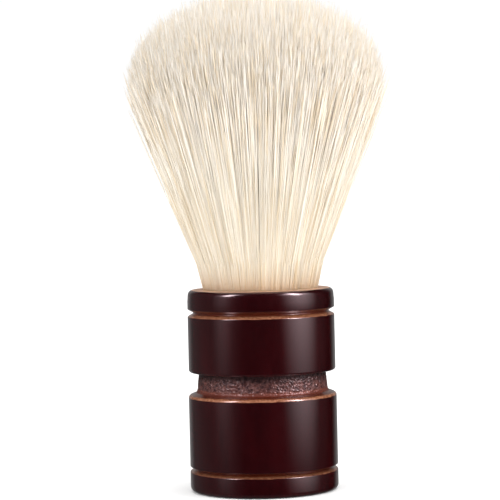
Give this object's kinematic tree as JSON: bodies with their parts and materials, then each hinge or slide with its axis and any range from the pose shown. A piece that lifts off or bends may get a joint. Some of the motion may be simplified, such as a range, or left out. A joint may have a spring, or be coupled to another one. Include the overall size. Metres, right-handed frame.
{
  "type": "neck duster brush",
  "caption": "Barber's neck duster: a fan of soft cream bristles with a domed top, potted in a short turned hardwood handle with V-grooves and a gripping waist, standing on its flat base.",
  "frame": {"origin": "centre of the flat base that the brush stands on", "axes": "+Z along the handle's axis, from the base up to the bristles' tips; the brush is round, so +X and +Y are any two square directions"},
  "size_m": [0.0806, 0.0806, 0.1525],
  "materials": {
    "lacquered_wood": "gloss",
    "adhesive": "satin",
    "resin": "gloss",
    "thread": "matte",
    "bristle": "satin"
  },
  "bodies": {
    "root": {"handle": "lacquered_wood", "adhesive_bed": "adhesive", "knot_plug": "resin", "binding_thread": "thread", "core_tuft": "bristle", "inner_tuft_01": "bristle", "inner_tuft_02": "bristle", "inner_tuft_03": "bristle", "inner_tuft_04": "bristle", "inner_tuft_05": "bristle", "inner_tuft_06": "bristle", "inner_tuft_07": "bristle", "outer_tuft_01": "bristle", "outer_tuft_02": "bristle", "outer_tuft_03": "bristle", "outer_tuft_04": "bristle", "outer_tuft_05": "bristle", "outer_tuft_06": "bristle", "outer_tuft_07": "bristle", "outer_tuft_08": "bristle", "outer_tuft_09": "bristle", "outer_tuft_10": "bristle", "outer_tuft_11": "bristle", "outer_tuft_12": "bristle", "outer_tuft_13": "bristle", "outer_tuft_14": "bristle"}
  },
  "joints": []
}
